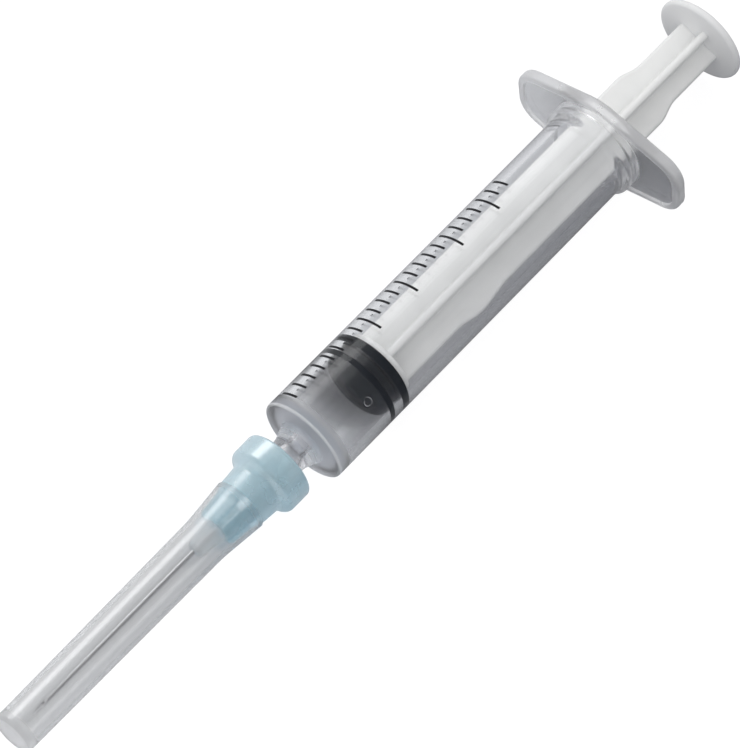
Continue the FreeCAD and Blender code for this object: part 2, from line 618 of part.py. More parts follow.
def make_cannula():
    """Steel needle tube with a ground point that faces upwards."""
    body = new_body("cannula")
    tube = turned(body, "needle_tube", [
        (NEEDLE_REAR, "dims.needle_bore"),
        (NEEDLE_REAR, "dims.needle_radius"),
        (NEEDLE_POINT, "dims.needle_radius"),
        (NEEDLE_POINT, "dims.needle_bore"),
    ])
    before = tube.Shape.Volume
    grind = new_sketch(body, "point_outline", "XZ_Plane")
    add_profile(grind, [
        (f"{NEEDLE_POINT} - 1", "-dims.needle_radius"),
        (NEEDLE_POINT, "-dims.needle_radius"),
        (f"{NEEDLE_POINT} + dims.point_length", "dims.needle_radius"),
        (f"{NEEDLE_POINT} + dims.point_length", "dims.needle_radius + 1"),
        (f"{NEEDLE_POINT} - 1", "dims.needle_radius + 1"),
    ])
    point = body.newObject("PartDesign::Pocket", "ground_point")
    point.Profile = grind
    point.Type = "Length"
    point.SideType = "Symmetric"
    point.setExpression("Length", "4 * dims.needle_radius")
    doc.recompute()
    if not point.Shape.Volume < before - 1e-6:
        raise RuntimeError("the point is not ground")
    return body


def make_needle_cap():
    """Needle cap: long closed tube with a flared mouth over the hub fins."""
    body = new_body("needle_cap")
    flare_end = f"({CAP_MOUTH} - dims.cap_flare)"
    outside = turned(body, "cap_body", [
        (CAP_MOUTH, "dims.cap_mouth_radius - dims.cap_wall"),
        (CAP_MOUTH, "dims.cap_mouth_radius"),
        (flare_end, "dims.cap_throat_radius"),
        (CAP_END, "dims.cap_tip_radius"),
        (CAP_END, "0"),
        (CAP_INNER_END, "0"),
        (CAP_INNER_END, "dims.cap_tip_radius - dims.cap_wall"),
        (flare_end, "dims.cap_throat_radius - dims.cap_wall"),
    ])
    rounded(body, "cap_end", outside, ring_edges(outside, [(CAP_END, "dims.cap_tip_radius")]),
            "dims.cap_round")
    return body


barrel = make_barrel()
pieces = [
    barrel,
    make_graduations(barrel),
    make_gasket(),
    make_plunger_rod(),
    make_needle_hub(),
    make_adhesive(),
    make_cannula(),
    make_needle_cap(),
]
doc.recompute()

for item in doc.Objects:
    if {"Invalid", "Error"} & set(item.State):
        raise RuntimeError(f"{item.Name} failed: {item.State}")

os.makedirs("parts", exist_ok=True)
for piece in pieces:
    shape = piece.Shape
    if shape.isNull() or not shape.isValid():
        raise RuntimeError(f"{piece.Label} has no valid shape")
    shape.exportStep(f"parts/{piece.Label}.step")
    box = shape.BoundBox
    print(f"{piece.Label}: {len(shape.Solids)} solids, volume {shape.Volume:.2f},"
          f" x {box.XMin:.2f} to {box.XMax:.2f}, z {box.ZMin:.2f} to {box.ZMax:.2f}")
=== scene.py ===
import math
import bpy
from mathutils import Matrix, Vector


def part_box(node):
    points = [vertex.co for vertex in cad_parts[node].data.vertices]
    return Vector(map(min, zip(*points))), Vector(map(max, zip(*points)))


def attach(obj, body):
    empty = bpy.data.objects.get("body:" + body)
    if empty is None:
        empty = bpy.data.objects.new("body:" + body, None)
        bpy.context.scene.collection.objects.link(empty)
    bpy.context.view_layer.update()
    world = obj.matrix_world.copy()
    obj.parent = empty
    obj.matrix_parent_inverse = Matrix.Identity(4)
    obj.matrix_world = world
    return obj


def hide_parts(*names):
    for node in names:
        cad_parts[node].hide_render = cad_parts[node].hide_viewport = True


bl_info = {
    "name": "Slip Tip Syringe",
    "version": (1, 0, 0),
    "blender": (4, 5, 0),
    "location": "3D View > Sidebar > Syringe",
    "description": "Dresses a disposable slip tip syringe and its capped needle",
    "category": "Mesh",
}

import bmesh
import bpy
from mathutils import Matrix, Vector

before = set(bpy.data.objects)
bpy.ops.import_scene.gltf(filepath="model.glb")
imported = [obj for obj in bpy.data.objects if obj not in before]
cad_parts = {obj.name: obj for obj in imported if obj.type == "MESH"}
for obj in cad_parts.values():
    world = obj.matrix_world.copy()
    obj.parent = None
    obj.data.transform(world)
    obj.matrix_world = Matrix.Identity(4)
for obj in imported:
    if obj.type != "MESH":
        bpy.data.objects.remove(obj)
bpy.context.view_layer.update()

# Lengths are in metres.
MM = 0.001
MICRON = 0.000001
BARREL_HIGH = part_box("barrel")[1]
AXIS_HEIGHT = BARREL_HIGH.z / 2
BARREL_LENGTH = 52.85 * MM
FRONT_FACE = BARREL_HIGH.x - BARREL_LENGTH

TURN_STEPS = 192
SHARP_ANGLE = math.radians(32)
LONG_MARKS = (9, 13, 18, 22)

# How much of each colour of the lamps' light a moulding lets through.
CLEAR_PASS = (0.985, 0.985, 0.985)
FROSTED_PASS = (0.93, 0.93, 0.94)
HUB_PASS = (0.72, 0.88, 0.95)
GLUE_PASS = (0.95, 0.95, 0.95)
PLASTIC_IOR = 1.49

# Each lamp: its name, the setting that holds its power, its place, its width and height, and
# whether it leaves a highlight.
LAMPS = (
    ("key_strip", "key", (0.21, 0.38, 0.41), (0.27, 0.42), True),
    ("side_fill", "side", (0.1, 0.2, 0.62), (0.4, 0.6), False),
    ("wide_fill", "fill", (-0.3, -0.33, 0.55), (0.5, 0.7), False),
)

# The sky is brightest along the first direction. What shines sees it darker along the second.
SKY_BRIGHT = (0.1, 0.55, 0.83)
SKY_FLAG = (-0.35, -0.4, 0.85)

# The floor as the camera sees it: its colour and its own light.
PAPER = (0.25, 0.25, 0.255)
PAPER_GLOW = 0.85

# The floor as all other rays see it, with light and shade painted on: a lighter side to the +Y
# of the syringe, where the lamps fall, painted shade on the other side, and a painted shadow
# under the chamber, longer across the syringe than along it. Its own light is for the rays that
# pass through or off the pieces.
SEEN_THROUGH_GLOW = 0.05
PAINTED_LIT_SIDE = (0.72, 0.73, 0.75)
PAINTED_SHADE_SIDE = (0.19, 0.195, 0.215)
PAINTED_SIDE_SLOPE = (-0.25, 1.0, 0.0)
PAINTED_SIDE_BLEND = 20 * MM
PAINTED_SHADOW = (0.085, 0.087, 0.097)
PAINTED_SHADOW_SCALE = (1.0, 0.5, 1.0)
PAINTED_SHADOW_CENTRE = (FRONT_FACE + 11.3 * MM, 3 * MM, 0)
PAINTED_SHADOW_CORE = 1.5 * MM
PAINTED_SHADOW_EDGE = 8 * MM

SENSOR_WIDTH = 36.0
CAMERA_AIM = (-0.00009, -0.00006, 0.00691)


def amount(name, description, value, **given):
    """A property that holds one number."""
    return bpy.props.FloatProperty(name=name, description=description, default=value, **given)


def length(name, description, millimetres):
    """A size of the syringe, shown in the scene's own length unit."""
    return amount(name, description, millimetres * MM, min=-1.0, max=1.0, unit="LENGTH",
                  precision=5)


def angle(name, description, degrees):
    """A turn, shown in degrees."""
    return amount(name, description, math.radians(degrees), unit="ROTATION")


def share(name, description, value):
    """A plain number from nought to one."""
    return amount(name, description, value, min=0.0, max=1.0, subtype="FACTOR")


def count(name, description, value):
    """A whole number of like features."""
    return bpy.props.IntProperty(name=name, description=description, default=value, min=1)


def colour(name, description, value):
    """A colour in linear light."""
    return bpy.props.FloatVectorProperty(
        name=name, description=description, default=value, size=3, min=0.0, max=1.0,
        subtype="COLOR")


class BarrelSizes(bpy.types.PropertyGroup):
    """Sizes of the barrel, its nozzle and its finger flange, from the barrel's front face."""

    radius: length("Radius", "Outside of the barrel", 5.6)
    bore: length("Bore", "Radius of the bore", 4.5)
    front_wall: length("Front wall", "Front face to the end of the bore", 1.1)
    cone_depth: length("Cone depth", "Depth of the conical end of the bore", 0.7)
    collar_radius: length("Collar radius", "Thickened ring in front of the flange", 6.2)
    collar_front: length("Collar front", "Front face to that ring", 49.6)
    collar_flare: length("Collar flare", "Bevel up to that ring", 0.7)
    flange_front: length("Flange front", "Front face to the flange", 51.35)
    flange_radius: length("Flange radius", "Middle of the flange outline", 6.94)
    wing_radius: length("Wing radius", "Corners of the wing tips", 3.4)
    wing_reach: length("Wing reach", "Centres of those corners, from the axis", 8.68)
    wing_rise: length("Wing rise", "Centres of those corners, to each side", 1.3)
    border: length("Border", "Raised border round the wings", 0.85)
    recess: length("Recess", "Depth inside that border", 0.25)
    bead_height: length("Bead height", "Retaining bead in the bore", 0.18)
    lumen: length("Lumen", "Radius of the channel through the nozzle", 0.9)
    gate_station: length("Gate station", "Front face to the ring that the gate left", 6.9)
    gate_turn: angle("Gate turn", "Bearing of that ring from the +Y wing", 137.0)
    neck_radius: length("Neck radius", "Plain neck of the nozzle", 2.28)
    nozzle_tip: length("Nozzle tip", "Front face to the end of the nozzle", -10.6)


class MarkSizes(bpy.types.PropertyGroup):
    """Sizes of the printed graduations."""

    marks: count("Marks", "Number of strokes", 24)
    first: length("First", "Front face to the first stroke", 1.83)
    pitch: length("Pitch", "Stroke to stroke", 1.573)
    stroke: length("Stroke", "Width of a stroke", 0.3)
    ink: length("Ink", "Thickness of the ink", 0.04)
    start: angle("Start", "Common end of the strokes, turned from the top", 47.0)
    short: angle("Short sweep", "Sweep of a short stroke", 28.0)
    long: angle("Long sweep", "Sweep of a long stroke", 43.5)


class PlungerSizes(bpy.types.PropertyGroup):
    """Sizes of the gasket and the plunger rod, from the barrel's front face."""

    gasket_front: length("Gasket front", "Front shoulder of the gasket", 8.9)
    gasket_rear: length("Gasket rear", "Rear face of the gasket", 12.3)
    front_rib: length("Front rib", "Width of the front sealing rib", 1.0)
    rear_rib: length("Rear rib", "Width of the rear sealing rib", 1.3)
    groove: length("Groove", "Depth of the groove between the ribs", 0.5)
    squeeze: length("Squeeze", "How far a sealing rib presses past the bore", 0.004)
    plate_radius: length("Plate radius", "Round plate behind the gasket", 4.2)
    plate_rear: length("Plate rear", "Rear face of that plate", 13.1)
    rib_thickness: length("Rib thickness", "Thickness of the rod's ribs", 1.0)
    rib_reach: length("Rib reach", "Reach of the rod's ribs", 3.66)
    tail_reach: length("Tail reach", "Reach of the ribs near the thumb disc", 2.92)
    rod_turn: angle("Rod turn", "Turn of the ribs against the wings", 25.0)
    thumb_front: length("Thumb front", "Front face of the thumb disc", 69.75)
    thumb_rear: length("Thumb rear", "Rear face of the thumb disc", 70.7)
    thumb_radius: length("Thumb radius", "Radius of the thumb disc", 5.8)


class NeedleSizes(bpy.types.PropertyGroup):
    """Sizes of the hub, the glue nose, the needle tube and the cap."""

    hub_mouth: length("Hub mouth", "Mouth of the hub", -3.75)
    collar_radius: length("Hub collar radius", "Collar round the mouth", 4.55)
    collar_front: length("Hub collar front", "Front of that collar", -6.85)
    step_front: length("Hub step front", "Foot of the step in front of it", -7.6)
    shoulder_radius: length("Hub shoulder radius", "Body of the hub there", 3.42)
    hub_radius: length("Hub radius", "Body of the hub at the cap", 3.2)
    cap_mouth: length("Cap mouth", "Mouth of the cap", -10.4)
    hub_front: length("Hub front", "Front of the hub fins", -14.6)
    fins: count("Fins", "Fins under the cap", 4)
    fin_thickness: length("Fin thickness", "Thickness of a fin", 0.72)
    fin_turn: angle("Fin turn", "Turn of the fins about the axis", 25.0)
    nose_tip: length("Nose tip", "Tip of the glue nose", -18.2)
    tube_radius: length("Tube radius", "Outside of the needle tube", 0.32)
    tube_bore: length("Tube bore", "Inside of the needle tube", 0.17)
    point: length("Point", "Point of the needle", -44.2)
    grind: length("Grind", "Length of the ground point", 2.4)
    cap_radius: length("Cap radius", "Outside of the cap at its mouth", 3.37)
    throat: length("Throat", "Where the cap's flare ends", -16.2)
    throat_radius: length("Throat radius", "Outside of the cap there", 2.84)
    tip_radius: length("Tip radius", "Outside of the cap near its closed end", 2.63)
    cap_end: length("Cap end", "Outer face of the closed end", -47.7)
    cap_wall: length("Cap wall", "Wall of the cap", 0.48)
    cap_end_wall: length("Cap end wall", "Thickness of the closed end", 0.9)


class FinishColours(bpy.types.PropertyGroup):
    """Colours and haze of the mouldings."""

    clear: colour("Clear plastic", "Barrel", (0.955, 0.96, 0.975))
    frosted: colour("Frosted plastic", "Finger flange", (0.93, 0.935, 0.95))
    wall: colour("End wall", "Thick front wall of the barrel", (0.74, 0.745, 0.785))
    cap: colour("Cap plastic", "Needle cap", (0.95, 0.955, 0.96))
    milky: colour("Milky plastic", "Plunger rod", (0.83, 0.835, 0.83))
    hub: colour("Hub plastic", "Needle hub", (0.63, 0.88, 0.97))
    fins: colour("Hub fins", "Thick part of the hub", (0.50, 0.87, 1.0))
    glue: colour("Glue", "Glue nose", (0.90, 0.93, 0.95))
    rubber: colour("Rubber", "Gasket", (0.004, 0.007, 0.013))
    ink: colour("Ink", "Graduations", (0.006, 0.006, 0.009))
    steel: colour("Steel", "Needle tube", (0.85, 0.85, 0.87))
    # Painted shade: the disc's greyer tone stands in for the darker floor seen through the thin
    # disc.
    disc: colour("Thumb disc", "Thin disc, which lets the floor show", (0.80, 0.805, 0.815))
    haze: share("Haze", "Roughness of the clear mouldings", 0.075)
    frost: share("Frost", "Roughness of their ends", 0.38)


class StageSettings(bpy.types.PropertyGroup):
    """Camera, lamps and floor."""

    azimuth: angle("Azimuth", "Camera's bearing from the front", -41.446)
    elevation: angle("Elevation", "Camera's height angle", 58.056)
    roll: angle("Roll", "Camera's turn about its line of sight", -8.482)
    distance: length("Distance", "Camera to the syringe", 541.15)
    lens: amount("Lens", "Focal length of the camera", 231.0, unit="CAMERA")
    floor_radius: length("Floor radius", "Radius of the floor", 900.0)
    key: amount("Key lamp", "Power of the strip lamp", 0.46, min=0.0, unit="POWER")
    side: amount("Side lamp", "Power of the lamp beside it", 0.42, min=0.0, unit="POWER")
    fill: amount("Fill lamp", "Power of the wide lamp", 1.3, min=0.0, unit="POWER")
    sky: amount("Sky", "Strength of the even light", 0.64, min=0.0)


SETTINGS = {
    "syringe_barrel": BarrelSizes,
    "syringe_marks": MarkSizes,
    "syringe_plunger": PlungerSizes,
    "syringe_needle": NeedleSizes,
    "syringe_finish": FinishColours,
    "syringe_stage": StageSettings,
}


# Mesh helpers. Pieces are made about the X axis, with their stations measured from the
# barrel's front face, and are moved to the syringe's axis as the last step. An outline is a
# list of (station, radius, rounding), with the rounding in millimetres.

def spun(outline, closed=True):
    """An outline spun once round the axis, not yet rounded."""
    bm = bmesh.new()
    ring = bm.verts.layers.int.new("ring")
    points = []
    for number, (station, radius, _) in enumerate(outline, start=1):
        point = bm.verts.new((station, 0.0, radius))
        point[ring] = number
        points.append(point)
    edges = [bm.edges.new(pair) for pair in zip(points, points[1:])]
    if closed:
        edges.append(bm.edges.new((points[-1], points[0])))
    bmesh.ops.spin(bm, geom=points + edges, cent=(0, 0, 0), axis=(1, 0, 0), dvec=(0, 0, 0),
                   angle=2 * math.pi, steps=TURN_STEPS, use_merge=True)
    bmesh.ops.remove_doubles(bm, verts=bm.verts, dist=1e-8)
    bmesh.ops.recalc_face_normals(bm, faces=bm.faces)
    return bm


def round_edges(bm, edges, rounding, segments=4):
    """Bevels edges by a rounding in millimetres."""
    bmesh.ops.bevel(bm, geom=edges, offset=rounding * MM, offset_type="OFFSET",
                    segments=segments, profile=0.5, affect="EDGES", clamp_overlap=True,
                    material=-1)


def round_rings(bm, outline, segments=4):
    """Bevels each ring of a spun outline by its own rounding."""
    ring = bm.verts.layers.int["ring"]
    edges = {}
    for edge in bm.edges:
        first, second = edge.verts
        if first[ring] == second[ring]:
            edges.setdefault(first[ring], []).append(edge)
    for number, (_, _, rounding) in enumerate(outline, start=1):
        if rounding:
            round_edges(bm, edges[number], rounding, segments)


def polar(vertex):
    """A vertex's angle from the +Y wing and its distance from the axis."""
    return math.atan2(vertex.co.z, vertex.co.y), math.hypot(vertex.co.y, vertex.co.z)


def push(vertex, radius):
    """Moves a vertex straight out or in to a new distance from the axis."""
    bearing, _ = polar(vertex)
    vertex.co.y = radius * math.cos(bearing)
    vertex.co.z = radius * math.sin(bearing)


def as_mesh(name, bm):
    """A mesh from a finished bmesh, which is freed."""
    mesh = bpy.data.meshes.new(name)
    bm.to_mesh(mesh)
    bm.free()
    return mesh


def linked(context, name, data):
    """A new object in the scene."""
    thing = bpy.data.objects.new(name, data)
    context.scene.collection.objects.link(thing)
    return thing


def joined(context, first, second):
    """One closed mesh from two overlapping ones."""
    things = [linked(context, "joining", as_mesh("joining", part)) for part in (first, second)]
    union = things[0].modifiers.new("union", "BOOLEAN")
    union.operation = "UNION"
    union.solver = "EXACT"
    union.object = things[1]
    graph = context.evaluated_depsgraph_get()
    result = bpy.data.meshes.new_from_object(things[0].evaluated_get(graph), depsgraph=graph)
    bm = bmesh.new()
    bm.from_mesh(result)
    for thing in things:
        mesh = thing.data
        bpy.data.objects.remove(thing)
        bpy.data.meshes.remove(mesh)
    bpy.data.meshes.remove(result)
    return bm


def add_piece(context, name, bm, materials, body, node):
    """Moves a finished mesh to the syringe's axis, puts it on its body and hides its CAD part.
    """
    bmesh.ops.remove_doubles(bm, verts=bm.verts, dist=1e-8)
    bmesh.ops.recalc_face_normals(bm, faces=bm.faces)
    bmesh.ops.translate(bm, verts=bm.verts, vec=(FRONT_FACE, 0, AXIS_HEIGHT))
    mesh = as_mesh(name, bm)
    for material in materials:
        mesh.materials.append(material)
    mesh.shade_smooth()
    mesh.set_sharp_from_angle(angle=SHARP_ANGLE)
    piece = linked(context, name, mesh)
    even = piece.modifiers.new("even_normals", "WEIGHTED_NORMAL")
    even.keep_sharp = True
    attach(piece, body)
    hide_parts(node)


# Shader nodes. A value is given as it is or as the output of another node.

def feed(tree, value, socket):
    """Links an output to a socket, or sets the socket to a plain value."""
    if isinstance(value, bpy.types.NodeSocket):
        tree.links.new(value, socket)
    else:
        socket.default_value = value


def feed_all(tree, sockets, **given):
    """Feeds sockets by their names, with an underscore for each space."""
    for label, value in given.items():
        feed(tree, value, sockets[label.replace("_", " ")])


def node_with(tree, kind, **given):
    """The outputs of a new node, with its inputs fed by their names."""
    node = tree.nodes.new(kind)
    feed_all(tree, node.inputs, **given)
    return node.outputs


def math_node(tree, operation, *given):
    """The result of a Math node."""
    node = tree.nodes.new("ShaderNodeMath")
    node.operation = operation
    for socket, value in zip(node.inputs, given):
        feed(tree, value, socket)
    return node.outputs[0]


def vector_node(tree, operation, first, second):
    """The result of a Vector Math node: a number for a dot product or a distance."""
    node = tree.nodes.new("ShaderNodeVectorMath")
    node.operation = operation
    feed(tree, first, node.inputs[0])
    feed(tree, second, node.inputs[1])
    return node.outputs["Vector" if operation == "MULTIPLY" else "Value"]


def ranged(tree, value, low, high, start=0.0, end=1.0, smooth=False):
    """A value between start and end that becomes one between low and high."""
    node = tree.nodes.new("ShaderNodeMapRange")
    if smooth:
        node.interpolation_type = "SMOOTHSTEP"
    feed_all(tree, node.inputs, Value=value, From_Min=start, From_Max=end, To_Min=low,
             To_Max=high)
    return node.outputs[0]


def mixed(tree, factor, first, second, kind="RGBA"):
    """A colour, or with kind FLOAT a number, that goes from the first to the second."""
    node = tree.nodes.new("ShaderNodeMix")
    node.data_type = kind
    feed_all(tree, node.inputs, Factor=factor, A=first, B=second)
    return node.outputs["Result"]


def opaque(tone, factor=1.0):
    """A colour with its alpha, made lighter or darker by a factor."""
    return (*(min(1.0, value * factor) for value in tone), 1.0)


def object_place(tree):
    """A surface point's place in its object's own coordinates."""
    return node_with(tree, "ShaderNodeTexCoord")["Object"]


def noise(tree, place, scale, detail):
    """Cloudy noise from nought to one."""
    return node_with(tree, "ShaderNodeTexNoise", Vector=place, Scale=scale, Detail=detail)["Fac"]


# Effects that the materials use, each as a node group.

def group(name, inputs, outputs):
    """An empty shader node group with its own sockets, all of them numbers but for vectors."""
    tree = bpy.data.node_groups.new(name, "ShaderNodeTree")
    for label, value in inputs.items():
        kind = "NodeSocketVector" if isinstance(value, tuple) else "NodeSocketFloat"
        socket = tree.interface.new_socket(name=label, in_out="INPUT", socket_type=kind)
        socket.default_value = value
    for label in outputs:
        tree.interface.new_socket(name=label, in_out="OUTPUT", socket_type="NodeSocketFloat")
    result = tree.nodes.new("NodeGroupOutput")
    return tree, node_with(tree, "NodeGroupInput"), result.inputs


def flow_lines():
    """Fine streaks along the syringe's axis, as moulding leaves them."""
    tree, given, result = group("flow_lines", {"Density": 900.0, "Stretch": 0.03},
                                ("Mask", "Height"))
    split = node_with(tree, "ShaderNodeSeparateXYZ", Vector=object_place(tree))
    along = math_node(tree, "MULTIPLY", split["X"], given["Stretch"])
    place = node_with(tree, "ShaderNodeCombineXYZ", X=along, Y=split["Y"], Z=split["Z"])[0]
    streaks = noise(tree, place, given["Density"], 3.0)
    feed_all(tree, result, Mask=ranged(tree, streaks, 0.0, 1.0, 0.35, 0.65), Height=streaks)
    return tree


def soft_clouds():
    """Slow changes of finish over a surface, with a fine grain for bump."""
    tree, given, result = group("soft_clouds", {"Size": 250.0, "Grain": 6000.0},
                                ("Mask", "Height"))
    place = object_place(tree)
    clouds = noise(tree, place, given["Size"], 4.0)
    feed_all(tree, result, Mask=ranged(tree, clouds, 0.0, 1.0, 0.3, 0.7),
             Height=noise(tree, place, given["Grain"], 2.0))
    return tree


def band():
    """One between two stations on the syringe's axis, fading to nought outside them."""
    tree, given, result = group("band", {"Front": 0.0, "Rear": 0.001, "Fade": 0.0005},
                                ("Mask",))
    along = node_with(tree, "ShaderNodeSeparateXYZ", Vector=object_place(tree))["X"]
    masks = []
    for side, outer in (("Front", "SUBTRACT"), ("Rear", "ADD")):
        limit = given[side]
        start = math_node(tree, outer, limit, given["Fade"])
        masks.append(ranged(tree, along, 0.0, 1.0, start, limit, smooth=True))
    feed(tree, math_node(tree, "MULTIPLY", *masks), result["Mask"])
    return tree


def ring_mark():
    """A fine raised ring, such as a gate leaves on a moulding."""
    tree, given, result = group(
        "ring_mark", {"Centre": (0.0, 0.0, 0.0), "Radius": 0.0005, "Width": 0.0001},
        ("Height",))
    gap = vector_node(tree, "DISTANCE", object_place(tree), given["Centre"])
    off = math_node(tree, "ABSOLUTE", math_node(tree, "SUBTRACT", gap, given["Radius"]))
    feed(tree, ranged(tree, off, 1.0, 0.0, 0.0, given["Width"], smooth=True),
         result["Height"])
    return tree


def effect(material, maker, **values):
    """A node group, built at its first use, placed in a material with its own values."""
    node = material.node_tree.nodes.new("ShaderNodeGroup")
    node.node_tree = bpy.data.node_groups.get(maker.__name__) or maker()
    feed_all(material.node_tree, node.inputs, **values)
    return node.outputs


# Materials.

def moulded(name, tone, maker, depth, roughness, **sockets):
    """A moulded plastic with flow lines or clouds in its colour, finish and surface."""
    material = bpy.data.materials.new(name)
    material.use_nodes = True
    tree = material.node_tree
    pattern = effect(material, maker)
    mask = pattern["Mask"]
    relief = node_with(tree, "ShaderNodeBump", Distance=depth, Height=pattern["Height"])
    feed_all(tree, tree.nodes["Principled BSDF"].inputs,
             Base_Color=mixed(tree, mask, opaque(tone, 0.97), opaque(tone, 1.03)),
             Roughness=ranged(tree, mask, roughness * 0.8, roughness * 1.25),
             Normal=relief["Normal"], **sockets)
    return material


def banded(material, front, rear, fade):
    """A mask that is one between two stations of the syringe."""
    return effect(material, band, Front=FRONT_FACE + front, Rear=FRONT_FACE + rear,
                  Fade=fade)["Mask"]


def frost_band(material, front, rear, fade, most):
    """Roughens a moulding between two stations, where its walls meet and scatter light."""
    tree = material.node_tree
    finish = tree.nodes["Principled BSDF"].inputs["Roughness"]
    rougher = ranged(tree, banded(material, front, rear, fade), 0.0, most)
    feed(tree, math_node(tree, "MAXIMUM", finish.links[0].from_socket, rougher), finish)


def tint_band(material, front, rear, fade, tone):
    """Goes over to another colour between two stations."""
    tree = material.node_tree
    paint = tree.nodes["Principled BSDF"].inputs["Base Color"]
    mask = banded(material, front, rear, fade)
    feed(tree, mixed(tree, mask, paint.links[0].from_socket, opaque(tone)), paint)


def add_ring_mark(material, centre, radius, width, depth):
    """Adds a gate's ring to the bump that a moulding already has."""
    tree = material.node_tree
    normal = tree.nodes["Principled BSDF"].inputs["Normal"]
    pattern = effect(material, ring_mark, Centre=centre, Radius=radius, Width=width)
    relief = node_with(tree, "ShaderNodeBump", Distance=depth, Height=pattern["Height"],
                       Normal=normal.links[0].from_socket)
    feed(tree, relief["Normal"], normal)


def let_lamps_through(material, tone):
    """Lets the lamps and the light between pieces pass through a clear moulding."""
    tree = material.node_tree
    path = node_with(tree, "ShaderNodeLightPath")
    passing = math_node(tree, "MAXIMUM", path["Is Shadow Ray"], path["Is Diffuse Ray"])
    plastic = tree.nodes["Principled BSDF"].outputs["BSDF"]
    plain = node_with(tree, "ShaderNodeBsdfTransparent", Color=opaque(tone))["BSDF"]
    choice = tree.nodes.new("ShaderNodeMixShader")
    for socket, value in zip(choice.inputs, (passing, plastic, plain)):
        feed(tree, value, socket)
    feed(tree, choice.outputs["Shader"], tree.nodes["Material Output"].inputs["Surface"])
    return material


def frosted_plastic(name, finish, roughness, transmission):
    """The scattering rims and ends of a clear moulding."""
    material = moulded(name, finish.frosted, soft_clouds, 2 * MICRON, roughness,
                       Transmission_Weight=transmission, IOR=PLASTIC_IOR)
    return let_lamps_through(material, FROSTED_PASS)


# Pieces.

def wing_outline(sizes, bearing, inset):
    """Distance from the axis to the flange outline, moved inwards by an inset."""
    middle = sizes.flange_radius - inset
    corner = sizes.wing_radius - inset
    reach, rise = sizes.wing_reach, sizes.wing_rise
    span = math.hypot(reach, rise)
    tilt = math.atan2(rise, reach)
    slant = math.acos((middle - corner) / span) + tilt
    bearing = abs(bearing)
    bearing = min(bearing, math.pi - bearing)
    touch = math.atan2(rise + corner * math.sin(slant), reach + corner * math.cos(slant))
    if bearing >= slant:
        return middle
    if bearing >= touch:
        return middle / math.cos(bearing - slant)
    if bearing <= math.atan2(rise, reach + corner):
        return (reach + corner) / math.cos(bearing)
    off = bearing - tilt
    return span * math.cos(off) + math.sqrt(corner ** 2 - (span * math.sin(off)) ** 2)


